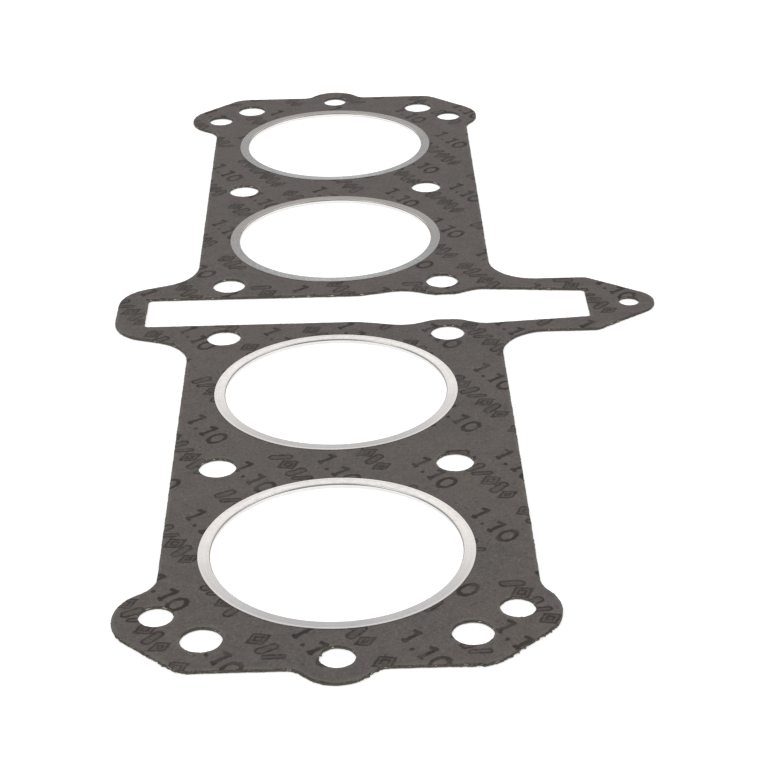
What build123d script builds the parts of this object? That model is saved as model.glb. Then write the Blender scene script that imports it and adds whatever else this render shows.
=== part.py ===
from build123d import *
import os
from math import radians, sin, tan

# Cylinder head gasket of an air-cooled in-line four, lying flat.
# A composite sheet of two fibre facings on a steel core, with a folded steel fire ring round each bore.
# X runs across the engine to the tab, Y along the row of cylinders, Z up, all in millimetres.
# The origin is the centre of the four studs round the cam chain tunnel, level with the rings' undersides.

# Cylinders, two each side of the tunnel, for bores of 65 mm
ring_clear_diameter = 66.5
centre_pitch = 113.0
pair_pitch = 89.0

# Sheet, in three layers
sheet_thickness = 1.10
core_thickness = 0.25

# Fire rings, a channel of thin steel folded round the bore's edge
ring_steel = 0.20
ring_flange_width = 3.35
ring_bend_radius = 0.42
land_depth = 0.05
land_clearance = 0.10
bore_edge_clearance = 0.10

# Body of the sheet, wider on the tab's side
body_left = 46.3
body_right = 52.0
end_margin = 52.2

# Corner ears, each round an oil hole that lies a little off the ear's centre
ear_radius = 13.0
ear_inward = 1.9
ear_endward = 0.9
end_corner_x = 35.2
end_corner_radius = 8.0
ear_root_radius = 8.0

# Middle ears, each round an end bolt
end_ear_radius = 10.6
end_ear_root_radius = 5.0

# Lobe round the left end of the tunnel
lobe_wall = 9.5
lobe_corner_y = 15.0
lobe_flank_angle = 20.0
lobe_corner_radius = 13.0
tunnel_root_radius = 15.0

# Wing and tab at the right end of the tunnel
wing_wall = 8.6
wing_corner_radius = 4.0
tab_flank_angle = 36.0
tab_radius = 8.2

# Slot for the cam chain, waisted at the two studs beside it
slot_left = 61.5
slot_right = 82.0
slot_wall = 3.5
slot_corner_radius = 1.3
waist_wall = 3.8
waist_half_length = 3.9
waist_flank_angle = 25.0
waist_radius = 8.0
belly_start = 7.5
belly_depth = 4.0
belly_radius = 14.0
taper_depth = 3.6
taper_radius = 8.0

# Holes: ten-millimetre studs, eight-millimetre end bolts, oil holes and one six-millimetre tab bolt
stud_hole_diameter = 10.8
oil_hole_diameter = 9.2
end_hole_diameter = 9.2
tab_hole_diameter = 6.7
outer_stud_x = 33.5
corner_stud_from_bore = 39.2
tunnel_stud_x = 35.5
tunnel_stud_y = 19.3
oil_hole_x = 45.4
oil_hole_from_bore = 28.6
end_hole_from_bore = 47.9
tab_hole_from_slot = 13.5

# Two corners nearer than this are one corner
same_place = 0.001

# Places along the row
inner_bore_y = centre_pitch / 2
outer_bore_y = inner_bore_y + pair_pitch
mid_stud_y = (inner_bore_y + outer_bore_y) / 2
corner_stud_y = outer_bore_y + corner_stud_from_bore
stud_places = [(outer_stud_x, corner_stud_y), (outer_stud_x, mid_stud_y), (tunnel_stud_x, tunnel_stud_y)]
oil_hole_y = outer_bore_y + oil_hole_from_bore
end_hole_y = outer_bore_y + end_hole_from_bore
ear_centre_x = oil_hole_x - ear_inward
ear_centre_y = oil_hole_y + ear_endward
end_y = outer_bore_y + end_margin
bore_centres = [(0, -outer_bore_y), (0, -inner_bore_y), (0, inner_bore_y), (0, outer_bore_y)]

# Levels: the rings stand proud of the sheet on both faces by all of their steel but the land's depth
sheet_bottom = ring_steel - land_depth
facing_thickness = (sheet_thickness - core_thickness) / 2
core_bottom = sheet_bottom + facing_thickness
core_top = core_bottom + core_thickness
sheet_top = sheet_bottom + sheet_thickness
ring_height = sheet_thickness - 2 * land_depth + 2 * ring_steel

# Radii round each bore
ring_inner_radius = ring_clear_diameter / 2
ring_outer_radius = ring_inner_radius + ring_flange_width
land_radius = ring_outer_radius + land_clearance
sheet_bore_radius = ring_inner_radius + ring_bend_radius + bore_edge_clearance

# Slot's upper edge as corners of (x, half width, corner radius), from the left end to the right
slot_half_width = tunnel_stud_y - stud_hole_diameter / 2 - slot_wall
waist_half_width = tunnel_stud_y - stud_hole_diameter / 2 - waist_wall
waist_start_x = tunnel_stud_x - waist_half_length
waist_end_x = tunnel_stud_x + waist_half_length
waist_slope = tan(radians(waist_flank_angle))
belly_x = waist_start_x - belly_depth / waist_slope
taper_x = waist_end_x + taper_depth / waist_slope
slot_corners = [
    (-slot_left, slot_half_width, slot_corner_radius),
    (belly_start, slot_half_width, belly_radius),
    (belly_x, waist_half_width + belly_depth, belly_radius),
    (waist_start_x, waist_half_width, waist_radius),
    (waist_end_x, waist_half_width, waist_radius),
    (taper_x, waist_half_width + taper_depth, taper_radius),
    (slot_right, slot_half_width, slot_corner_radius),
]
upper_slot_points = [(x, half_width) for x, half_width, radius in slot_corners]
lower_slot_points = [(x, -half_width) for x, half_width, radius in reversed(slot_corners)]
slot_radii = [radius for x, half_width, radius in slot_corners]

# Lobe's flank, from its outer corner to the body's left edge
lobe_reach = slot_left + lobe_wall
lobe_root_y = lobe_corner_y + (lobe_reach - body_left) * tan(radians(lobe_flank_angle))

# Tab's flanks are tangent to its round end and run back to shoulders on the wing's edges
tab_hole_x = slot_right + tab_hole_from_slot
wing_half_width = slot_half_width + wing_wall
tab_tip_x = tab_hole_x + tab_radius / sin(radians(tab_flank_angle))
tab_shoulder_x = tab_tip_x - wing_half_width / tan(radians(tab_flank_angle))

# End plate: the straight end, its slanting corners and the two ears in one taut outline
with BuildSketch() as end_plate:
    with Locations((-ear_centre_x, ear_centre_y), (ear_centre_x, ear_centre_y)):
        Circle(ear_radius)
    with Locations((-end_corner_x, end_y - end_corner_radius), (end_corner_x, end_y - end_corner_radius)):
        Circle(end_corner_radius)
    make_hull()

# Lobe at the tunnel's left end, rounded at its two outer corners
with BuildSketch() as lobe:
    Polygon(
        (-lobe_reach, -lobe_corner_y),
        (-body_left, -lobe_root_y),
        (-body_left, lobe_root_y),
        (-lobe_reach, lobe_corner_y),
        align=None,
    )
    fillet(lobe.vertices().group_by(Axis.X)[0], radius=lobe_corner_radius)

# Wing at the tunnel's right end, running out to the tab
with BuildSketch() as wing:
    Polygon(
        (body_right, -wing_half_width),
        (tab_shoulder_x, -wing_half_width),
        (tab_tip_x, 0),
        (tab_shoulder_x, wing_half_width),
        (body_right, wing_half_width),
        align=None,
    )
    fillet(wing.vertices().group_by(Axis.X)[1], radius=wing_corner_radius)
    fillet(wing.vertices().group_by(Axis.X)[-1], radius=tab_radius)

# Cam chain slot, closed by the mirror image of its upper edge
with BuildSketch() as slot:
    with BuildLine():
        FilletPolyline(upper_slot_points + lower_slot_points, radius=slot_radii + slot_radii[::-1], close=True)
    make_face()

# Corners of an outline that lie on the body's straight sides, between two distances along the row
def side_corners(outline, near_y, far_y):
    return outline.vertices().filter_by(
        lambda corner: min(abs(corner.X + body_left), abs(corner.X - body_right)) < same_place
        and near_y < abs(corner.Y) < far_y
    )


# Corners where a middle ear leaves the sheet's straight end
def end_corners(outline):
    return outline.vertices().filter_by(
        lambda corner: abs(corner.X) < end_ear_radius and abs(abs(corner.Y) - end_y) < same_place
    )


# Sheet as it is punched: the outline with its inner corners rounded, then the slot and the holes
with BuildSketch() as sheet:
    with Locations(((body_right - body_left) / 2, 0)):
        Rectangle(body_left + body_right, 2 * ear_centre_y)
    add(end_plate.sketch)
    add(mirror(end_plate.sketch, about=Plane.XZ, mode=Mode.PRIVATE))
    add(lobe.sketch)
    add(wing.sketch)
    fillet(side_corners(sheet, inner_bore_y, end_y), radius=ear_root_radius)
    fillet(side_corners(sheet, 0, inner_bore_y), radius=tunnel_root_radius)
    with Locations((0, -end_hole_y), (0, end_hole_y)):
        Circle(end_ear_radius)
    fillet(end_corners(sheet), radius=end_ear_root_radius)
    add(slot.sketch, mode=Mode.SUBTRACT)
    with Locations(bore_centres):
        Circle(sheet_bore_radius, mode=Mode.SUBTRACT)
    for stud_x, stud_y in stud_places:
        with GridLocations(2 * stud_x, 2 * stud_y, 2, 2):
            Circle(stud_hole_diameter / 2, mode=Mode.SUBTRACT)
    with GridLocations(2 * oil_hole_x, 2 * oil_hole_y, 2, 2):
        Circle(oil_hole_diameter / 2, mode=Mode.SUBTRACT)
    with Locations((0, -end_hole_y), (0, end_hole_y)):
        Circle(end_hole_diameter / 2, mode=Mode.SUBTRACT)
    with Locations((tab_hole_x, 0)):
        Circle(tab_hole_diameter / 2, mode=Mode.SUBTRACT)

# Land pressed into each facing, where the ring's flanges seat
with BuildSketch() as lands:
    with Locations(bore_centres):
        Circle(land_radius)

# Steel core, the middle layer, punched with the facings
with BuildPart() as steel_core:
    with BuildSketch(Plane.XY.offset(core_bottom)):
        add(sheet.sketch)
    extrude(amount=core_thickness)

# Lower facing, pressed in from below round the bores
with BuildPart() as lower_facing:
    with BuildSketch(Plane.XY.offset(sheet_bottom)):
        add(sheet.sketch)
    extrude(amount=facing_thickness)
    with BuildSketch(Plane.XY.offset(sheet_bottom)):
        add(lands.sketch)
    extrude(amount=land_depth, mode=Mode.SUBTRACT)

# Upper facing, pressed in from above
with BuildPart() as upper_facing:
    with BuildSketch(Plane.XY.offset(core_top)):
        add(sheet.sketch)
    extrude(amount=facing_thickness)
    with BuildSketch(Plane.XY.offset(sheet_top)):
        add(lands.sketch)
    extrude(amount=-land_depth, mode=Mode.SUBTRACT)

os.makedirs("parts", exist_ok=True)
layers = {"lower_facing": lower_facing, "steel_core": steel_core, "upper_facing": upper_facing}
for name, layer in layers.items():
    layer.part.label = name
    export_step(layer.part, f"parts/{name}.step")

# Fire rings: a channel section turned round each bore's axis, its back and two bends towards the bore
channel_back_x = ring_inner_radius + ring_steel
for number, bore_centre in enumerate(bore_centres, start=1):
    with BuildPart() as fire_ring:
        with BuildSketch(Plane(bore_centre, x_dir=(1, 0, 0), z_dir=(0, -1, 0))):
            with BuildLine():
                FilletPolyline(
                    (ring_outer_radius, 0),
                    (ring_inner_radius, 0),
                    (ring_inner_radius, ring_height),
                    (ring_outer_radius, ring_height),
                    radius=ring_bend_radius,
                )
                FilletPolyline(
                    (ring_outer_radius, ring_steel),
                    (channel_back_x, ring_steel),
                    (channel_back_x, ring_height - ring_steel),
                    (ring_outer_radius, ring_height - ring_steel),
                    radius=ring_bend_radius - ring_steel,
                )
                Line((ring_outer_radius, 0), (ring_outer_radius, ring_steel))
                Line((ring_outer_radius, ring_height - ring_steel), (ring_outer_radius, ring_height))
            make_face()
        revolve(axis=Axis(bore_centre, (0, 0, 1)))
    fire_ring.part.label = f"fire_ring_{number}"
    export_step(fire_ring.part, f"parts/fire_ring_{number}.step")
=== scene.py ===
import math
import random

import bpy
from mathutils import Matrix, Vector, noise
from mathutils.geometry import delaunay_2d_cdt


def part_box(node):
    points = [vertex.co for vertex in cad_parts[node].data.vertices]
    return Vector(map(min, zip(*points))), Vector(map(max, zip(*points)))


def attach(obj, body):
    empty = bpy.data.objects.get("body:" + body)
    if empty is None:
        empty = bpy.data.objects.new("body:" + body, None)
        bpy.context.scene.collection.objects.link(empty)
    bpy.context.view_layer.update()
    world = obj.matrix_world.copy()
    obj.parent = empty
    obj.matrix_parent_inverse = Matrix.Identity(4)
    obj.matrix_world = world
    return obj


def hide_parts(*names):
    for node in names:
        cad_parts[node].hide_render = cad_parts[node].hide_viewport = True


# Cylinder head gasket for an air-cooled in-line four: two fibre facings on a steel core, and four steel
# fire rings. The core is the frame's own solid. The two facings are built again here, edge for edge,
# with the rolled upper edge and the torn walls that a punch leaves in fibre sheet, and the rings are
# turned again from their own section with even, smooth bends.
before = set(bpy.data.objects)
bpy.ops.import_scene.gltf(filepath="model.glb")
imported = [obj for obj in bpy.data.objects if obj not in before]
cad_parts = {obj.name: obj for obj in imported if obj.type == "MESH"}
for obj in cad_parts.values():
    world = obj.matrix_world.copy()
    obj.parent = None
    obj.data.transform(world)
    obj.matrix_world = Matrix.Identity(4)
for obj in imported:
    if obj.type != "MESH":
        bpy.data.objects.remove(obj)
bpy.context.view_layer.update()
scene = bpy.context.scene
scene.view_settings.view_transform = "Standard"
mm = 0.001


# Colours are written as sRGB hex and turned to linear here
def colour(hex_code):
    channels = [int(hex_code[i:i + 2], 16) / 255 for i in (1, 3, 5)]
    linear = [c / 12.92 if c <= 0.04045 else ((c + 0.055) / 1.055) ** 2.4 for c in channels]
    return (*linear, 1.0)


# Adds a node with its settings, links or sets its inputs by name or in order, and gives one output
def add_node(tree, kind, inputs=(), output=0, **settings):
    node = tree.nodes.new("ShaderNode" + kind)
    for name, value in settings.items():
        setattr(node, name, value)
    for socket, value in inputs.items() if isinstance(inputs, dict) else enumerate(inputs):
        if isinstance(value, bpy.types.NodeSocket):
            tree.links.new(value, node.inputs[socket])
        else:
            node.inputs[socket].default_value = colour(value) if isinstance(value, str) else value
    return node.outputs[output] if node.outputs else node


def new_material(name):
    material = bpy.data.materials.new(name)
    material.use_nodes = True
    material.node_tree.nodes.clear()
    return material, material.node_tree


# Mottle whose largest spots are about size_mm across, as a share that goes from bottom to top
# while the noise goes from low to high
def mottle(tree, place, size_mm, low=0.0, high=1.0, bottom=0.0, top=1.0, detail=3.0, roughness=0.55):
    settings = {"Vector": place, "Scale": 1 / (size_mm * mm), "Detail": detail, "Roughness": roughness}
    spots = add_node(tree, "TexNoise", settings)
    return add_node(tree, "MapRange", [spots, low, high, bottom, top], interpolation_type="SMOOTHSTEP")


# How far a face looks up, from -1 on the underside through 0 on a wall to 1 on a level top
def upward_look(tree):
    normal = add_node(tree, "TexCoord", output="Normal")
    return add_node(tree, "SeparateXYZ", [normal], output="Z")


# Print on the sheet: the thickness in millimetres, in rows that run down to the right,
# and between them rows of plain outlined shapes.
# The sizes are the length of one repeat, the pitch between rows, how far each row steps along
# from the last, and how far odd rows fall back.
print_origin = (6.8, 28.5)
print_row_angle = 62.4
print_repeat = 31.9
print_row_pitch = 22.24
print_row_step = 11.64
print_odd_row_back = 3.54

# Half widths of the lines, strengths of the ink, and how far its edge fades to each side
figure_stroke = 0.65
outline_stroke = 0.37
figure_strength = 0.92
outline_strength = 0.88
shape_fill = 0.32
ink_softness = 0.2

# Distance in millimetres that keeps a place clear of ink
far_off = 99.0

# Figures of one repeat, as strokes from point to point, in millimetres from the nought's centre,
# and the place along the row where the repeat ends
figure_lean = 0.15
figure_one = [((0.0, -2.75), (0.0, 2.3)), ((0.0, 2.3), (-1.7, 1.6)), ((-0.5, -2.75), (0.5, -2.75))]
figure_one_places = (-13.0, -4.95)
figure_point = (-8.9, -2.8)
nought_half_size = (2.0, 2.8)
figures_end = 8.0

# Outlined shapes of one repeat: bars as (place along the row, lean, half height, half width),
# lozenges as (place along the row, half width, half height)
outlined_bars = [(-12.8, 0.9, 1.9, 1.1), (-3.2, 0.0, 1.9, 1.1), (0.6, 0.9, 1.9, 0.7), (9.6, -0.7, 1.9, 1.1)]
outlined_lozenges = [(-8.0, 2.6, 3.1), (5.2, 2.4, 3.1), (14.0, 2.0, 2.8)]
lozenge_inset = 1.1

# The shapes stand in groups. Gaps between these are given as (middle, half width) within four repeats,
# and odd rows of shapes fall back by one and a half repeats more.
group_gaps = [(9.65, 6.95), (50.55, 2.55), (85.45, 5.55), (112.25, 4.65)]
group_repeats = 4
odd_row_groups_back = 1.5 * print_repeat


# Distance in millimetres from a place in the row to a stroke between two points
def stroke_distance(tree, place, start, end):
    run = Vector((end[0] - start[0], end[1] - start[1], 0))
    offset = add_node(tree, "VectorMath", [place, (*start, 0)], operation="SUBTRACT")
    if run.length == 0:
        return add_node(tree, "VectorMath", [offset], output="Value", operation="LENGTH")
    along = [offset, run / run.length_squared]
    share = add_node(tree, "VectorMath", along, output="Value", operation="DOT_PRODUCT")
    share = add_node(tree, "Clamp", [share])
    nearest = add_node(tree, "VectorMath", {0: run, "Scale": share}, operation="SCALE")
    return add_node(tree, "VectorMath", [offset, nearest], output="Value", operation="DISTANCE")


# Signed distance to a lozenge's outline, below zero inside it
def lozenge_distance(tree, place, centre_x, half_width, half_height):
    offset = add_node(tree, "VectorMath", [place, (centre_x, 0, 0)], operation="SUBTRACT")
    offset = add_node(tree, "VectorMath", [offset, (half_width, half_height, 1)], operation="DIVIDE")
    offset = add_node(tree, "VectorMath", [offset], operation="ABSOLUTE")
    total = add_node(tree, "VectorMath", [offset, (1, 1, 0)], output="Value", operation="DOT_PRODUCT")
    slope = half_width * half_height / math.hypot(half_width, half_height)
    return add_node(tree, "Math", [total, slope, -slope], operation="MULTIPLY_ADD")


# Places along a row and across it: rows are centred on whole pitches, or halfway between with offset 0
def row_place(tree, along, across, row_offset, odd_row_shift):
    row = add_node(tree, "Math", [across, 1 / print_row_pitch, row_offset], operation="MULTIPLY_ADD")
    row = add_node(tree, "Math", [row], operation="FLOOR")
    odd = add_node(tree, "Math", [row, 2.0], operation="FLOORED_MODULO")
    odd_shift = add_node(tree, "Math", [odd, odd_row_shift], operation="MULTIPLY")
    step = add_node(tree, "Math", [row, -print_row_step, odd_shift], operation="MULTIPLY_ADD")
    x = add_node(tree, "Math", [along, step], operation="ADD")
    y = add_node(tree, "Math", [row, -print_row_pitch, across], operation="MULTIPLY_ADD")
    y = add_node(tree, "Math", [y, (0.5 - row_offset) * print_row_pitch], operation="SUBTRACT")
    return x, y


# Share of ink on the sheet, from 0 to 1
def print_ink(tree, place):
    angle = math.radians(print_row_angle)
    origin = Matrix.Rotation(angle, 3, "Z") @ Vector((*print_origin, 0))
    on_sheet = add_node(tree, "Mapping", [place, -origin, (0, 0, angle), (1 / mm,) * 3])
    along = add_node(tree, "SeparateXYZ", [on_sheet], output="X")
    across = add_node(tree, "SeparateXYZ", [on_sheet], output="Y")

    x, y = row_place(tree, along, across, 0.5, print_odd_row_back)
    x = add_node(tree, "Math", [x, figures_end, figures_end - print_repeat], operation="WRAP")
    figures = add_node(tree, "CombineXYZ", [x, y])
    leaning = [figures, (1, figure_lean, 0)]
    figure_x = add_node(tree, "VectorMath", leaning, output="Value", operation="DOT_PRODUCT")
    figures = add_node(tree, "CombineXYZ", [figure_x, y])
    nought = add_node(tree, "VectorMath", [figures, (*nought_half_size, 1)], operation="DIVIDE")
    nought = add_node(tree, "VectorMath", [nought], output="Value", operation="LENGTH")
    mean_size = sum(nought_half_size) / 2
    nought = add_node(tree, "Math", [nought, mean_size, -mean_size], operation="MULTIPLY_ADD")
    figure_edge = add_node(tree, "Math", [nought], operation="ABSOLUTE")
    strokes = [(figure_point, figure_point)]
    for shift in figure_one_places:
        strokes += [((start[0] + shift, start[1]), (end[0] + shift, end[1])) for start, end in figure_one]
    for start, end in strokes:
        stroke = stroke_distance(tree, figures, start, end)
        figure_edge = add_node(tree, "Math", [figure_edge, stroke], operation="MINIMUM")

    x, y = row_place(tree, along, across, 0.0, print_odd_row_back + odd_row_groups_back)
    in_groups = add_node(tree, "Math", [x, group_repeats * print_repeat, 0.0], operation="WRAP")
    x = add_node(tree, "Math", [x, print_repeat / 2, -print_repeat / 2], operation="WRAP")
    shapes = add_node(tree, "CombineXYZ", [x, y])
    inside = [lozenge_distance(tree, shapes, *lozenge) for lozenge in outlined_lozenges]
    inset = [add_node(tree, "Math", [lozenge, lozenge_inset], operation="ADD") for lozenge in inside]
    for bar_x, lean, half_height, half_width in outlined_bars:
        bar = stroke_distance(tree, shapes, (bar_x - lean, -half_height), (bar_x + lean, half_height))
        inside.append(add_node(tree, "Math", [bar, half_width], operation="SUBTRACT"))
    within = inside[0]
    shape_edge = far_off
    for outline in inside + inset:
        within = add_node(tree, "Math", [within, outline], operation="MINIMUM")
        edge = add_node(tree, "Math", [outline], operation="ABSOLUTE")
        shape_edge = add_node(tree, "Math", [shape_edge, edge], operation="MINIMUM")
    for middle, half_width in group_gaps:
        in_gap = add_node(tree, "Math", [in_groups, middle, half_width], operation="COMPARE")
        within = add_node(tree, "Math", [in_gap, far_off, within], operation="MULTIPLY_ADD")
        shape_edge = add_node(tree, "Math", [in_gap, far_off, shape_edge], operation="MULTIPLY_ADD")

    # Ink spreads unevenly into the fibre, and takes less well in patches
    spread = mottle(tree, place, 0.9, 0.2, 0.8, -0.22, 0.22)
    density = mottle(tree, place, 4.0, 0.25, 0.62, 0.55, 1.0)
    covers = []
    figure_ink = (figure_edge, figure_stroke, figure_strength)
    shape_ink = (shape_edge, outline_stroke, outline_strength)
    for edge, stroke, strength in (figure_ink, shape_ink):
        edge = add_node(tree, "Math", [edge, spread], operation="ADD")
        limits = [edge, stroke - ink_softness, stroke + ink_softness, strength, 0.0]
        covers.append(add_node(tree, "MapRange", limits, interpolation_type="SMOOTHSTEP"))
    ink = add_node(tree, "Math", covers, operation="MAXIMUM")
    fill = [within, -ink_softness, ink_softness, shape_fill, 0.0]
    fill = add_node(tree, "MapRange", fill, interpolation_type="SMOOTHSTEP")
    ink = add_node(tree, "Math", [ink, fill], operation="MAXIMUM")
    return add_node(tree, "Math", [ink, density], operation="MULTIPLY")


# Burnish and painted highlight along a cut edge: distances in from it, in millimetres, between which it
# fades, and its strength
burnish_and_painted_highlight_full = 0.4
burnish_and_painted_highlight_end = 1.2
burnish_and_painted_highlight_strength = 0.6

# Painted shade under the rolled edge, a dark line on the upper wall: heights where it starts and is full,
# and its strength
painted_shade_low = 0.97 * mm
painted_shade_high = 1.07 * mm
painted_shade_strength = 0.8

# Fibre sheet's roughness on the skin and on the cut wall, and its relief, to which the fibres add a little
skin_roughness = 0.55
wall_roughness = 0.9
sheet_relief = 0.03 * mm
fibre_relief = 0.05


# Fibre sheet: aramid and graphite fibres pressed with rubber, then calendered to a dull, leathery skin.
# A cut shows the darker, open fibre inside. Single fibres are about 0.02 mm thick. They are drawn
# 0.5 to 0.8 mm wide, as finer ones wouldn't show.
def fibre_sheet(name, printed):
    material, tree = new_material(name)
    place = add_node(tree, "TexCoord", output="Object")
    patches = mottle(tree, place, 30.0, 0.35, 0.65, detail=2.0)
    bundles = mottle(tree, place, 5.0, 0.3, 0.7, 0.0, 0.6, detail=6.0, roughness=0.65)
    pale_fibres = mottle(tree, place, 0.5, 0.46, 0.78, 0.0, 0.75, detail=2.0)
    dark_fibres = mottle(tree, place, 0.8, 0.5, 0.26, 0.0, 0.6, detail=3.0)
    skin = add_node(tree, "Mix", {0: patches, 6: "#5f5955", 7: "#5a5654"}, 2, data_type="RGBA")
    skin = add_node(tree, "Mix", {0: bundles, 6: skin, 7: "#69635f"}, 2, data_type="RGBA")
    skin = add_node(tree, "Mix", {0: pale_fibres, 6: skin, 7: "#7a736b"}, 2, data_type="RGBA")
    skin = add_node(tree, "Mix", {0: dark_fibres, 6: skin, 7: "#47413e"}, 2, data_type="RGBA")

    # A band about a millimetre wide along each edge is a paler, greener grey: partly the punch's burnish,
    # partly painted highlight
    from_edge = add_node(tree, "Attribute", output="Fac", attribute_name="from_edge")
    burnish_and_painted_highlight = [from_edge, burnish_and_painted_highlight_full, burnish_and_painted_highlight_end, burnish_and_painted_highlight_strength, 0.0]
    burnish_and_painted_highlight = add_node(tree, "MapRange", burnish_and_painted_highlight, interpolation_type="SMOOTHSTEP")
    burnish_and_painted_highlight = add_node(tree, "Math", [burnish_and_painted_highlight, mottle(tree, place, 6.0, 0.35, 0.6)], operation="MULTIPLY")
    # Partly painted highlight: the edge band is coloured paler and greener
    skin = add_node(tree, "Mix", {0: burnish_and_painted_highlight, 6: skin, 7: "#706f67"}, 2, data_type="RGBA")
    if printed:
        ink = print_ink(tree, place)
        skin = add_node(tree, "Mix", {0: ink, 6: skin, 7: "#322c29"}, 2, data_type="RGBA")

    # Cut wall: open fibre with pale ends of single fibres, and painted shade, a dark line at the top of the
    # wall
    flatness = add_node(tree, "Math", [upward_look(tree)], operation="ABSOLUTE")
    cut = add_node(tree, "MapRange", [flatness, 0.45, 0.8, 1.0, 0.0], interpolation_type="SMOOTHSTEP")
    torn = mottle(tree, place, 0.5, 0.35, 0.65, roughness=0.7)
    fibre_ends = mottle(tree, place, 0.35, 0.6, 0.72)
    wall = add_node(tree, "Mix", {0: torn, 6: "#534d47", 7: "#7c746b"}, 2, data_type="RGBA")
    wall = add_node(tree, "Mix", {0: fibre_ends, 6: wall, 7: "#aba290"}, 2, data_type="RGBA")
    base = add_node(tree, "Mix", {0: cut, 6: skin, 7: wall}, 2, data_type="RGBA")
    height = add_node(tree, "SeparateXYZ", [place], output="Z")
    # Painted shade: the wall's top is coloured dark, as under the rolled edge
    painted_edge_shade = [height, painted_shade_low, painted_shade_high, 0.0, painted_shade_strength]
    painted_edge_shade = add_node(tree, "MapRange", painted_edge_shade, interpolation_type="SMOOTHSTEP")
    painted_edge_shade_on_wall = add_node(tree, "Math", [painted_edge_shade, cut], operation="MULTIPLY")
    base = add_node(tree, "Mix", {0: painted_edge_shade_on_wall, 6: base, 7: "#2a2623"}, 2, data_type="RGBA")

    rough = add_node(tree, "MapRange", [cut, 0.0, 1.0, skin_roughness, wall_roughness])
    waves = mottle(tree, place, 2.2)
    relief = add_node(tree, "Math", [pale_fibres, fibre_relief, waves], operation="MULTIPLY_ADD")
    bump = add_node(tree, "Bump", {"Height": relief, "Distance": sheet_relief, "Strength": 0.8})
    finish = {"Base Color": base, "Roughness": rough, "Normal": bump, "Specular IOR Level": 0.14}
    add_node(tree, "OutputMaterial", {"Surface": add_node(tree, "BsdfPrincipled", finish)})
    return material


# Each ring was crimped on a little out of level, so each catches the room at its own height.
# Their lean along the gasket and the flange's fall to its edge are slopes. The outer band tips back up,
# where the strip was slit.
ring_leans = (-0.017, 0.017, -0.061, -0.035)
flange_fall = -0.026
slit_band_radius = 36.0
slit_band_rise = 0.03

# Lines that the tool drew round the flange, and the strip's slight waves, in millimetres. Real lines lie
# far closer together. They are drawn 0.45 mm apart, as finer ones wouldn't show.
drawn_line_spacing = 0.45
drawn_line_depth = 0.01
strip_wave_size = 1.1
strip_wave_depth = 0.001
fold_extra_roughness = 0.07


# Stainless steel strip, cold rolled and bright annealed, then folded round the bore's edge: a satin finish
# that mirrors the room softly
def satin_stainless(number, centre, lean):
    material, tree = new_material(f"satin_stainless_strip_{number}")
    place = add_node(tree, "TexCoord", output="Object")
    clouds = mottle(tree, place, 14.0, 0.35, 0.65, detail=2.0)
    scuffs = mottle(tree, place, 0.8, 0.6, 0.76, 0.0, 0.15)
    base = add_node(tree, "Mix", {0: clouds, 6: "#dedcda", 7: "#e3e2e0"}, 2, data_type="RGBA")
    base = add_node(tree, "Mix", {0: scuffs, 6: base, 7: "#c6c3c0"}, 2, data_type="RGBA")
    rough = mottle(tree, place, 1.5, 0.3, 0.7, 0.12, 0.18)

    # The upper fold was closed last. It is duller than the flange and the back, where the bend stretched
    # the strip's skin, and it is painted darker: painted shade, a thin dark line along the fold.
    upward = upward_look(tree)
    fold_dulling_and_painted_shade = add_node(tree, "MapRange", [upward, 0.5, 0.97, 1.0, 0.0])
    bent = add_node(tree, "MapRange", [upward, 0.1, 0.4])
    fold_dulling_and_painted_shade = add_node(tree, "Math", [fold_dulling_and_painted_shade, bent], operation="MULTIPLY")
    rough = add_node(tree, "Math", [fold_dulling_and_painted_shade, fold_extra_roughness, rough], operation="MULTIPLY_ADD")

    # The flange's fine form, given to its shading as heights in millimetres
    to_centre = {0: place, "Location": (-centre.x, -centre.y, 0), "Scale": (1 / mm,) * 3}
    offset = add_node(tree, "Mapping", to_centre)
    flat_offset = add_node(tree, "VectorMath", [offset, (1, 1, 0)], operation="MULTIPLY")
    radius = add_node(tree, "VectorMath", [flat_offset], output="Value", operation="LENGTH")
    slit_band = add_node(tree, "Math", [radius, slit_band_radius], operation="SUBTRACT")
    slit_band = add_node(tree, "Math", [slit_band, 0.0], operation="MAXIMUM")
    relief = add_node(tree, "VectorMath", [offset, (0, lean, 0)], output="Value", operation="DOT_PRODUCT")
    relief = add_node(tree, "Math", [radius, flange_fall, relief], operation="MULTIPLY_ADD")
    relief = add_node(tree, "Math", [slit_band, slit_band_rise, relief], operation="MULTIPLY_ADD")
    waves = mottle(tree, place, strip_wave_size)
    relief = add_node(tree, "Math", [waves, strip_wave_depth, relief], operation="MULTIPLY_ADD")
    across_lines = {"W": radius, "Scale": 1 / drawn_line_spacing, "Detail": 2.0}
    drawn_lines = add_node(tree, "TexNoise", across_lines, noise_dimensions="1D")
    relief = add_node(tree, "Math", [drawn_lines, drawn_line_depth, relief], operation="MULTIPLY_ADD")
    dark_lines = add_node(tree, "MapRange", [drawn_lines, 0.55, 0.3, 0.0, 0.35])
    base = add_node(tree, "Mix", {0: dark_lines, 6: base, 7: "#c2bfbd"}, 2, data_type="RGBA")
    # Painted shade: the upper fold is coloured darker
    base = add_node(tree, "Mix", {0: fold_dulling_and_painted_shade, 6: base, 7: "#7a7774"}, 2, data_type="RGBA")
    bump = add_node(tree, "Bump", {"Height": relief, "Distance": mm, "Strength": 1.0})
    finish = {"Base Color": base, "Metallic": 1.0, "Roughness": rough, "Normal": bump}
    add_node(tree, "OutputMaterial", {"Surface": add_node(tree, "BsdfPrincipled", finish)})
    return material


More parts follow.
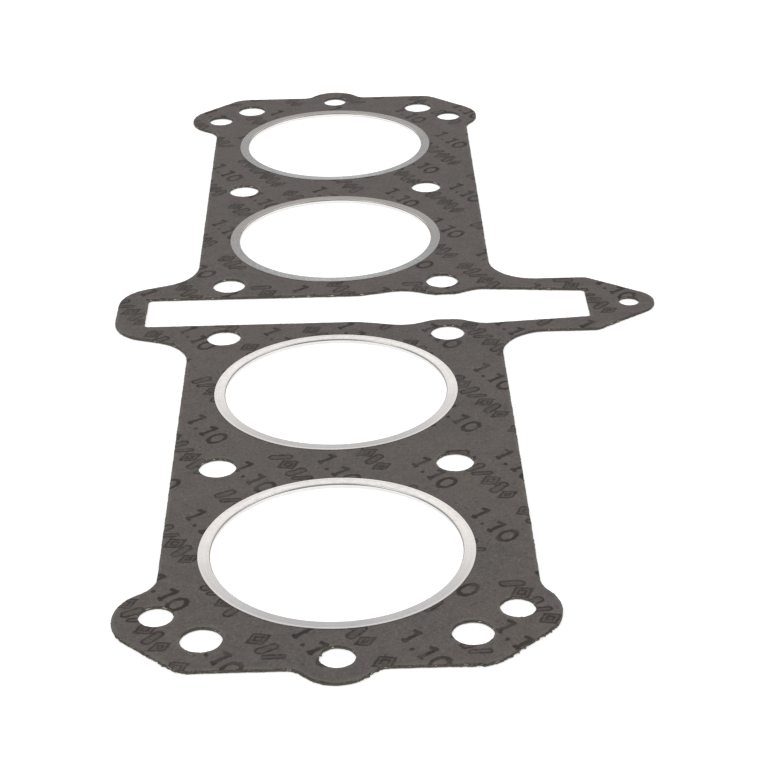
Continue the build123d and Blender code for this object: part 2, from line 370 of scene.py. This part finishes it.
# Core: cold-rolled steel, smeared with fibre, that glints only where the punch left bare metal
def punched_core_steel():
    material, tree = new_material("punched_core_steel")
    place = add_node(tree, "TexCoord", output="Object")
    bare = mottle(tree, place, 1.6, 0.57, 0.64, detail=4.0, roughness=0.65)
    base = add_node(tree, "Mix", {0: bare, 6: "#544e48", 7: "#bfb9ad"}, 2, data_type="RGBA")
    rough = add_node(tree, "MapRange", [bare, 0.0, 1.0, 0.8, 0.38])
    relief = mottle(tree, place, 0.4)
    bump = add_node(tree, "Bump", {"Height": relief, "Distance": 0.05 * mm, "Strength": 0.6})
    finish = {"Base Color": base, "Metallic": bare, "Roughness": rough, "Normal": bump}
    add_node(tree, "OutputMaterial", {"Surface": add_node(tree, "BsdfPrincipled", finish)})
    return material


# Loose fibres at the cut: aramid, soft and matt, from dusty dark to straw
def loose_fibre():
    material, tree = new_material("loose_aramid_fibre")
    place = add_node(tree, "TexCoord", output="Object")
    tint = mottle(tree, place, 5.0, 0.35, 0.65)
    base = add_node(tree, "Mix", {0: tint, 6: "#3a342f", 7: "#75695a"}, 2, data_type="RGBA")
    finish = {"Base Color": base, "Roughness": 0.75, "Sheen Weight": 0.2}
    add_node(tree, "OutputMaterial", {"Surface": add_node(tree, "BsdfPrincipled", finish)})
    return material


# Camera, fitted to the photograph's holes, rings and outline
camera_place = (7.0, -602.1, 292.7)
camera_turn = (62.008, 0.986, -1.307)
camera_data = bpy.data.cameras.new("camera")
camera_data.lens = 96.33
camera_data.sensor_width = 36.0
camera_data.clip_start = 0.05
camera_data.clip_end = 20.0
camera = bpy.data.objects.new("camera", camera_data)
camera.location = Vector(camera_place) * mm
camera.rotation_euler = [math.radians(angle) for angle in camera_turn]
scene.collection.objects.link(camera)
scene.camera = camera

# Levels of the sheet and the bores' centres, from the frame, in millimetres
upper_low, upper_high = (corner.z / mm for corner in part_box("upper_facing"))
lower_low, lower_high = (corner.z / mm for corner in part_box("lower_facing"))
land_depth = 0.05
bore_places = [sum(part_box(f"fire_ring_{number}"), Vector()).xy / 2 / mm for number in range(1, 5)]
land_radius_range = (35.0, 38.0)
bore_radius_range = (32.0, 35.0)

# Limits by which an outline is round a bore, a vertex is at a level, and a face looks up
off_centre_limit = 1.0
off_level_limit = 0.002
least_upward = 0.9


# Closed outlines of a node's flat upward faces at one height, each with the solid on its left
def flat_outlines(node, height):
    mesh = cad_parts[node].data
    places = [(round(v.co.x / mm, 4), round(v.co.y / mm, 4)) for v in mesh.vertices]
    level = [abs(v.co.z / mm - height) < off_level_limit for v in mesh.vertices]
    edges = set()
    for face in mesh.polygons:
        corners = list(face.vertices)
        if face.normal.z > least_upward and all(level[v] for v in corners):
            edges.update((places[a], places[b]) for a, b in zip(corners, corners[1:] + corners[:1]))
    following = {start: end for start, end in edges if (end, start) not in edges}
    outlines = []
    while following:
        outline = [min(following)]
        while following[outline[-1]] != outline[0]:
            outline.append(following.pop(outline[-1]))
        following.pop(outline[-1])
        outlines.append([Vector(point) for point in outline])
    return outlines


# True for a round outline on a bore's centre whose radius lies in a range
def round_a_bore(outline, radius_range):
    centre = sum(outline, Vector((0, 0))) / len(outline)
    on_bore = min((centre - bore).length for bore in bore_places) < off_centre_limit
    return on_bore and radius_range[0] < (outline[0] - centre).length < radius_range[1]


# The same outline with points at an even step
def even_points(outline, step):
    closed = outline + outline[:1]
    lengths = [(b - a).length for a, b in zip(closed, closed[1:])]
    count = round(sum(lengths) / step)
    spacing = sum(lengths) / count
    points = []
    passed = 0.0
    for start, end, length in zip(closed, closed[1:], lengths):
        while len(points) < count and len(points) * spacing < passed + length:
            points.append(start.lerp(end, (len(points) * spacing - passed) / length))
        passed += length
    return points


# Unit directions out of the solid at each point of an outline
def outward(points):
    runs = [points[(i + 1) % len(points)] - points[i - 1] for i in range(len(points))]
    return [Vector((run.y, -run.x)).normalized() for run in runs]


# Stretches of the cut edge that tore, as (x, y, reach, depth) in millimetres
torn_places = [
    (-43.0, -193.5, 9.0, 0.6), (-51.0, -184.0, 7.0, 0.4), (49.0, -184.8, 9.0, 0.75),
    (43.0, -191.5, 7.0, 0.7), (34.4, -197.0, 6.0, 0.6), (-6.0, -200.5, 7.0, 0.45),
    (8.0, -200.5, 6.0, 0.5), (-4.7, -192.0, 1.8, 0.8), (36.5, 9.9, 7.0, 0.5),
    (51.0, 10.2, 9.0, 0.45), (35.2, 24.5, 2.4, 0.7), (88.0, -16.0, 9.0, 0.4),
    (-35.5, -14.0, 2.5, 0.5), (0.0, 10.0, 16.0, 0.3), (71.0, 10.0, 7.0, 0.4),
]
tear_fade = 1.5
plain_tear = 0.13
tear_size = 0.7

# Shares of the fine waves, the broad waves and the sharp tips, and the noise above which a tip stands out.
# Each has a seed of its own, and the fine waves and the tips change with height.
fine_share = 0.75
fine_rise = 1.4
broad_share = 0.7
broad_seed = 31.7
tip_share = 1.8
tip_rise = 3
tip_seed = 11.3
tip_start = 0.15


# How far the wall's face wanders at a place, more on the torn stretches
def tear_depth(x, y):
    depths = [most * math.exp(-tear_fade * ((x - near_x) ** 2 + (y - near_y) ** 2) / reach ** 2)
              for near_x, near_y, reach, most in torn_places]
    return max(plain_tear, *depths)


# Outward shift of the wall's face: a rough surface with sharp tips
def tear_shift(x, y, z, seed):
    fine = noise.noise(Vector((x / tear_size, y / tear_size, fine_rise * z + seed)))
    broad = noise.noise(Vector((x / tear_size / 4, y / tear_size / 4, seed + broad_seed)))
    tip = noise.noise(Vector((2 * x / tear_size, 2 * y / tear_size, tip_rise * z + seed + tip_seed)))
    waves = fine_share * fine + broad_share * broad
    return tear_depth(x, y) * (waves + tip_share * max(0.0, tip - tip_start))


# Section of a facing's outer edge: distance in from the wall and drop below the flat
rolled_section = [(1.6, 0.0), (1.15, 0.004), (0.8, 0.018), (0.45, 0.05), (0.18, 0.10), (0.0, 0.16)]
square_section = [(1.2, 0.0), (0.2, 0.01), (0.0, 0.04)]
wall_rows = 3

# Steps along the cut edge and round a bore, how far in the tears reach, the distance that stands for
# well inside, the sharpest corner that is shaded smooth, and the distance at which two points are one
edge_step = 0.45
round_step = 1.5
tear_reach_in = 0.6
well_inside = 2.0
wall_corner_angle = math.radians(50)
same_point = 1e-6


# A facing under construction, with its outer side up or down
class Facing:
    def __init__(self, outer_side):
        self.side = outer_side
        self.points = []
        self.from_edge = []
        self.faces = []

    # Row of vertices at one height, with their distance from the cut edge
    def row(self, points, height, distance=well_inside):
        first = len(self.points)
        self.points += [(point.x, point.y, height) for point in points]
        self.from_edge += [distance] * len(points)
        return list(range(first, len(self.points)))

    # Faces between a row and the next one outside it or further from the outer side
    def band(self, upper, lower):
        for i, j in zip(range(len(upper)), [*range(1, len(upper)), 0]):
            face = (upper[i], lower[i], lower[j], upper[j])
            self.faces.append(face if self.side > 0 else face[::-1])

    # Flat face bounded by several rows
    def plate(self, rows, faces_up):
        order = [vertex for row in rows for vertex in row]
        flat = [Vector(self.points[vertex][:2]) for vertex in order]
        starts = [sum(len(row) for row in rows[:n]) for n in range(len(rows))]
        loops = [list(range(start, start + len(row))) for start, row in zip(starts, rows)]
        omit_holes = 2
        triangles, sources = delaunay_2d_cdt(flat, [], loops, omit_holes, same_point)[2:4]
        for triangle in triangles:
            a, b, c = (order[sources[corner][0]] for corner in triangle)
            run, rise = (Vector(self.points[v][:2]) - Vector(self.points[a][:2]) for v in (b, c))
            self.faces.append((a, b, c) if (run.cross(rise) > 0) == faces_up else (a, c, b))

    def make(self, name, node, material):
        mesh = bpy.data.meshes.new(name)
        mesh.from_pydata([Vector(point) * mm for point in self.points], [], self.faces)
        mesh.attributes.new("from_edge", "FLOAT", "POINT").data.foreach_set("value", self.from_edge)
        mesh.shade_smooth()
        mesh.set_sharp_from_angle(angle=wall_corner_angle)
        mesh.materials.append(material)
        piece = bpy.data.objects.new(name, mesh)
        scene.collection.objects.link(piece)
        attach(piece, "root")
        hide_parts(node)


# One facing from its outer level to the core, with the pressed land round each bore
def make_facing(name, node, outer_level, core_level, section, seed, material):
    side = 1 if outer_level > core_level else -1
    facing = Facing(side)
    land_level = outer_level - side * land_depth
    outer_rows = []
    core_rows = []
    for outline in cut_outlines:
        points = even_points(outline, edge_step)
        directions = outward(points)
        rows = []
        for inset, drop in section:
            share = max(0.0, 1 - inset / tear_reach_in)
            moved = [p + d * (share * tear_shift(*p, outer_level, seed) - inset)
                     for p, d in zip(points, directions)]
            rows.append(facing.row(moved, outer_level - side * drop, inset))
        wall_top = outer_level - side * section[-1][1]
        for n in range(1, wall_rows + 1):
            height = wall_top + (core_level - wall_top) * n / wall_rows
            moved = [p + d * tear_shift(*p, height, seed) for p, d in zip(points, directions)]
            rows.append(facing.row(moved, height, 0.0))
        for upper, lower in zip(rows, rows[1:]):
            facing.band(upper, lower)
        outer_rows.append(rows[0])
        core_rows.append(rows[-1])
    for land, bore in zip(land_outlines, bore_outlines):
        land_points = even_points(land, round_step)
        bore_points = even_points(bore, round_step)
        head = facing.row(land_points, outer_level)
        foot = facing.row(land_points, land_level)
        bore_head = facing.row(bore_points, land_level)
        bore_foot = facing.row(bore_points, core_level)
        facing.band(head, foot)
        facing.band(bore_head, bore_foot)
        facing.plate([foot, bore_head], side > 0)
        outer_rows.append(head)
        core_rows.append(bore_foot)
    facing.plate(outer_rows, side > 0)
    facing.plate(core_rows, side < 0)
    facing.make(name, node, material)


outer_outlines = flat_outlines("upper_facing", upper_high)
cut_outlines = [o for o in outer_outlines if not round_a_bore(o, land_radius_range)]
land_outlines = [o for o in outer_outlines if round_a_bore(o, land_radius_range)]
bore_outlines = [o for o in flat_outlines("upper_facing", upper_high - land_depth)
                 if round_a_bore(o, bore_radius_range)]
for outlines in (land_outlines, bore_outlines):
    outlines.sort(key=lambda outline: sum(point.y for point in outline) / len(outline))

make_facing("printed_facing", "upper_facing", upper_high, upper_low, rolled_section, 3.1,
            fibre_sheet("printed_fibre_sheet", True))
make_facing("plain_facing", "lower_facing", lower_low, lower_high, square_section, 57.9,
            fibre_sheet("plain_fibre_sheet", False))

# Section of a fire ring, as the solids have it: a channel of thin strip, its back towards the bore.
# Points a little way past each bend, at flat_start, keep the flanges shaded as flats.
ring_steel = 0.20
ring_bend_radius = 0.42
slit_corner = 0.03
flat_start = 0.06
bend_steps = 8
ring_steps = 288
ring_corner_angle = math.radians(40)


# Quarter bend in steps, as points of (radius from the bore's axis, height)
def quarter_bend(centre, radius, start_degrees, turn_degrees):
    angles = [math.radians(start_degrees + turn_degrees * n / bend_steps) for n in range(bend_steps + 1)]
    return [(centre[0] + radius * math.cos(a), centre[1] + radius * math.sin(a)) for a in angles]


# Closed section, from the lower flange's edge round the channel's back to the upper flange, and back inside
def ring_section(clear_radius, outer_radius, height):
    low = (clear_radius + ring_bend_radius, ring_bend_radius)
    high = (clear_radius + ring_bend_radius, height - ring_bend_radius)
    inner_bend = ring_bend_radius - ring_steel
    flat_radius = clear_radius + ring_bend_radius + flat_start
    section = [(outer_radius, slit_corner), (outer_radius - slit_corner, 0), (flat_radius, 0)]
    section += quarter_bend(low, ring_bend_radius, 270, -90)
    section += quarter_bend(high, ring_bend_radius, 180, -90)
    section += [(flat_radius, height), (outer_radius - slit_corner, height)]
    section += [(outer_radius, height - slit_corner), (outer_radius, height - ring_steel)]
    section += quarter_bend(high, inner_bend, 90, 90)
    section += quarter_bend(low, inner_bend, 180, 90)
    return section + [(outer_radius, ring_steel)]


def make_ring(node, centre, material):
    low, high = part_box(node)
    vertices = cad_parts[node].data.vertices
    clear_radius = min((v.co.xy / mm - centre).length for v in vertices)
    section = ring_section(clear_radius, (high.x - low.x) / mm / 2, high.z / mm)
    count = len(section)
    points = []
    faces = []
    for step in range(ring_steps):
        angle = math.tau * step / ring_steps
        direction = Vector((math.cos(angle), math.sin(angle)))
        points += [(*(centre + direction * radius), height) for radius, height in section]
        first, second = step * count, (step + 1) % ring_steps * count
        for i, j in zip(range(count), [*range(1, count), 0]):
            faces.append((first + i, first + j, second + j, second + i))
    mesh = bpy.data.meshes.new(f"turned_{node}")
    mesh.from_pydata([Vector(point) * mm for point in points], [], faces)
    mesh.shade_smooth()
    mesh.set_sharp_from_angle(angle=ring_corner_angle)
    mesh.materials.append(material)
    piece = bpy.data.objects.new(f"turned_{node}", mesh)
    scene.collection.objects.link(piece)
    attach(piece, "root")
    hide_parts(node)


for number, (centre, lean) in enumerate(zip(bore_places, ring_leans), 1):
    make_ring(f"fire_ring_{number}", centre, satin_stainless(number, centre, lean))

core_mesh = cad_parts["steel_core"].data
core_mesh.materials.clear()
core_mesh.materials.append(punched_core_steel())

# Loose fibres that stand out of the cut walls. Single fibres are too thin to show, so they are drawn
# as bundles about a tenth of a millimetre thick. On a torn stretch up to most_on_torn more stand
# at a point, and they are longer by up to torn_growth for each time that the tear is the plain one's depth.
fibre_sides = 3
fibre_joints = 4
fibre_bend = 0.5
fibre_taper = 0.75
fibre_length_range = (0.15, 0.4)
fibre_radius_range = (0.03, 0.07)
fibre_height_range = (lower_low + 0.1, upper_high - 0.25)
fibre_slant = 1.1
fibre_rise_range = (-0.5, 0.35)
root_depth = 0.1
root_slant = 0.5
fibres_per_mm = 0.8
fibre_clearance = 0.02
most_on_torn = 4.0
torn_growth = 0.25
torn_growth_limit = 5.0
nearly_upright = Vector((0.3, 0.2, 1.0))
draw = random.Random(8)


# One tapered, bent fibre as points and faces
def add_fibre(points, faces, root, direction, length, radius):
    bend = Vector([draw.uniform(-1, 1) for axis in range(3)]) * fibre_bend
    across = direction.cross(nearly_upright).normalized()
    other = direction.cross(across)
    first = len(points)
    for joint in range(fibre_joints):
        share = joint / fibre_joints
        centre = root + direction * length * share + bend * length * share * share
        width = radius * (1 - fibre_taper * share)
        for corner in range(fibre_sides):
            angle = math.tau * corner / fibre_sides
            points.append(centre + (across * math.cos(angle) + other * math.sin(angle)) * width)
    points.append(root + (direction + bend) * length)
    for point in points[first:]:
        point.z = max(point.z, fibre_clearance)
    for joint in range(fibre_joints - 1):
        for corner in range(fibre_sides):
            a = first + joint * fibre_sides + corner
            b = first + joint * fibre_sides + (corner + 1) % fibre_sides
            faces.append((a, b, b + fibre_sides, a + fibre_sides))
    last = first + (fibre_joints - 1) * fibre_sides
    faces += [(last + c, last + (c + 1) % fibre_sides, len(points) - 1) for c in range(fibre_sides)]
    faces.append(tuple(first + c for c in reversed(range(fibre_sides))))


fibre_points = []
fibre_faces = []
for outline in cut_outlines:
    points = even_points(outline, 1 / fibres_per_mm)
    for point, direction in zip(points, outward(points)):
        torn = tear_depth(*point) / plain_tear
        growth = torn_growth * min(torn, torn_growth_limit)
        for n in range(1 + int(draw.random() * min(torn, most_on_torn))):
            height = draw.uniform(*fibre_height_range)
            sideways = Vector((-direction.y, direction.x)) * draw.uniform(-fibre_slant, fibre_slant)
            lean = Vector((*(direction + sideways), draw.uniform(*fibre_rise_range))).normalized()
            start = point + sideways * root_slant
            root = Vector((*start, height)) - lean * root_depth
            length = draw.uniform(*fibre_length_range) * (1 + growth * draw.random())
            add_fibre(fibre_points, fibre_faces, root, lean, length, draw.uniform(*fibre_radius_range))
fibre_mesh = bpy.data.meshes.new("torn_fibres")
fibre_mesh.from_pydata([point * mm for point in fibre_points], [], fibre_faces)
fibre_mesh.shade_smooth()
fibre_mesh.materials.append(loose_fibre())
torn_fibres = bpy.data.objects.new("torn_fibres", fibre_mesh)
scene.collection.objects.link(torn_fibres)
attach(torn_fibres, "root")


# Floor: pale board, white to the camera where nothing shades it
def pale_board():
    material, tree = new_material("pale_board")
    paper = add_node(tree, "BsdfDiffuse", {"Color": "#f2f2f1"})
    glow = add_node(tree, "Emission", {"Color": "#ffffff", "Strength": 0.48})
    both = add_node(tree, "AddShader", [paper, glow])
    to_camera = add_node(tree, "LightPath", output="Is Camera Ray")
    to_gloss = add_node(tree, "LightPath", output="Is Glossy Ray")
    seen = add_node(tree, "Math", [to_camera, to_gloss], operation="MAXIMUM")
    add_node(tree, "OutputMaterial", {"Surface": add_node(tree, "MixShader", [seen, paper, both])})
    return material


floor_half_width = 3000.0
floor_signs = [(-1, -1), (1, -1), (1, 1), (-1, 1)]
floor_corners = [Vector((x, y, 0)) * floor_half_width * mm for x, y in floor_signs]
floor_mesh = bpy.data.meshes.new("floor")
floor_mesh.from_pydata(floor_corners, [], [(0, 1, 2, 3)])
floor_mesh.materials.append(pale_board())
floor = bpy.data.objects.new("floor", floor_mesh)
scene.collection.objects.link(floor)

# Light: a soft, even room, with a large softbox high at the left and a weaker one high at the right.
# The room is dim up to about 22 degrees above the floor, brightest in a band near 25 degrees, and dimmer
# overhead. It is a little warm near the floor and in the band, and cooler just below the band and overhead.
# The levels are those of the glow, and the share is what is left of the band's level overhead.
near_floor_level = 0.53
below_band_level = 0.42
in_band_level = 1.36
overhead_share = 0.44
world = bpy.data.worlds.new("studio")
world.use_nodes = True
scene.world = world
tree = world.node_tree
tree.nodes.clear()
look = add_node(tree, "TexCoord", output="Generated")
upward = add_node(tree, "SeparateXYZ", [look], output="Z")
low_glow = add_node(tree, "MapRange", [upward, 0.22, 0.36, near_floor_level, below_band_level])
band_glow = [upward, 0.37, 0.42, low_glow, in_band_level]
band_glow = add_node(tree, "MapRange", band_glow, interpolation_type="SMOOTHSTEP")
ceiling_dim = [upward, 0.44, 0.6, 1.0, overhead_share]
ceiling_dim = add_node(tree, "MapRange", ceiling_dim, interpolation_type="SMOOTHSTEP")
room_glow = add_node(tree, "Math", [band_glow, ceiling_dim], operation="MULTIPLY")
camera_ray = add_node(tree, "LightPath", output="Is Camera Ray")
strength = add_node(tree, "Mix", {0: camera_ray, 2: room_glow, 3: 1.0})
overhead = add_node(tree, "MapRange", [upward, 0.5, 0.58], interpolation_type="SMOOTHSTEP")
high_tint = add_node(tree, "Mix", {0: overhead, 6: "#fffbf8", 7: "#fafaff"}, 2, data_type="RGBA")
off_floor = add_node(tree, "MapRange", [upward, 0.25, 0.33], interpolation_type="SMOOTHSTEP")
low_tint = add_node(tree, "Mix", {0: off_floor, 6: "#fbf1ea", 7: "#ecf4fb"}, 2, data_type="RGBA")
in_band = add_node(tree, "MapRange", [upward, 0.37, 0.42], interpolation_type="SMOOTHSTEP")
tint = add_node(tree, "Mix", {0: in_band, 6: low_tint, 7: high_tint}, 2, data_type="RGBA")
tint = add_node(tree, "Mix", {0: camera_ray, 6: tint, 7: "#ffffff"}, 2, data_type="RGBA")
background = add_node(tree, "Background", {"Color": tint, "Strength": strength})
add_node(tree, "OutputWorld", {"Surface": background})


# A square softbox aimed at the gasket's middle
def softbox(name, place, size, power):
    light = bpy.data.lights.new(name, "AREA")
    light.shape = "SQUARE"
    light.size = size * mm
    light.energy = power
    lamp = bpy.data.objects.new(name, light)
    lamp.location = Vector(place) * mm
    lamp.rotation_euler = (-lamp.location).to_track_quat("-Z", "Y").to_euler()
    scene.collection.objects.link(lamp)


softbox("softbox_left", (-2000, -700, 3300), 2000, 30)
softbox("softbox_right", (2200, 450, 3300), 2000, 19)
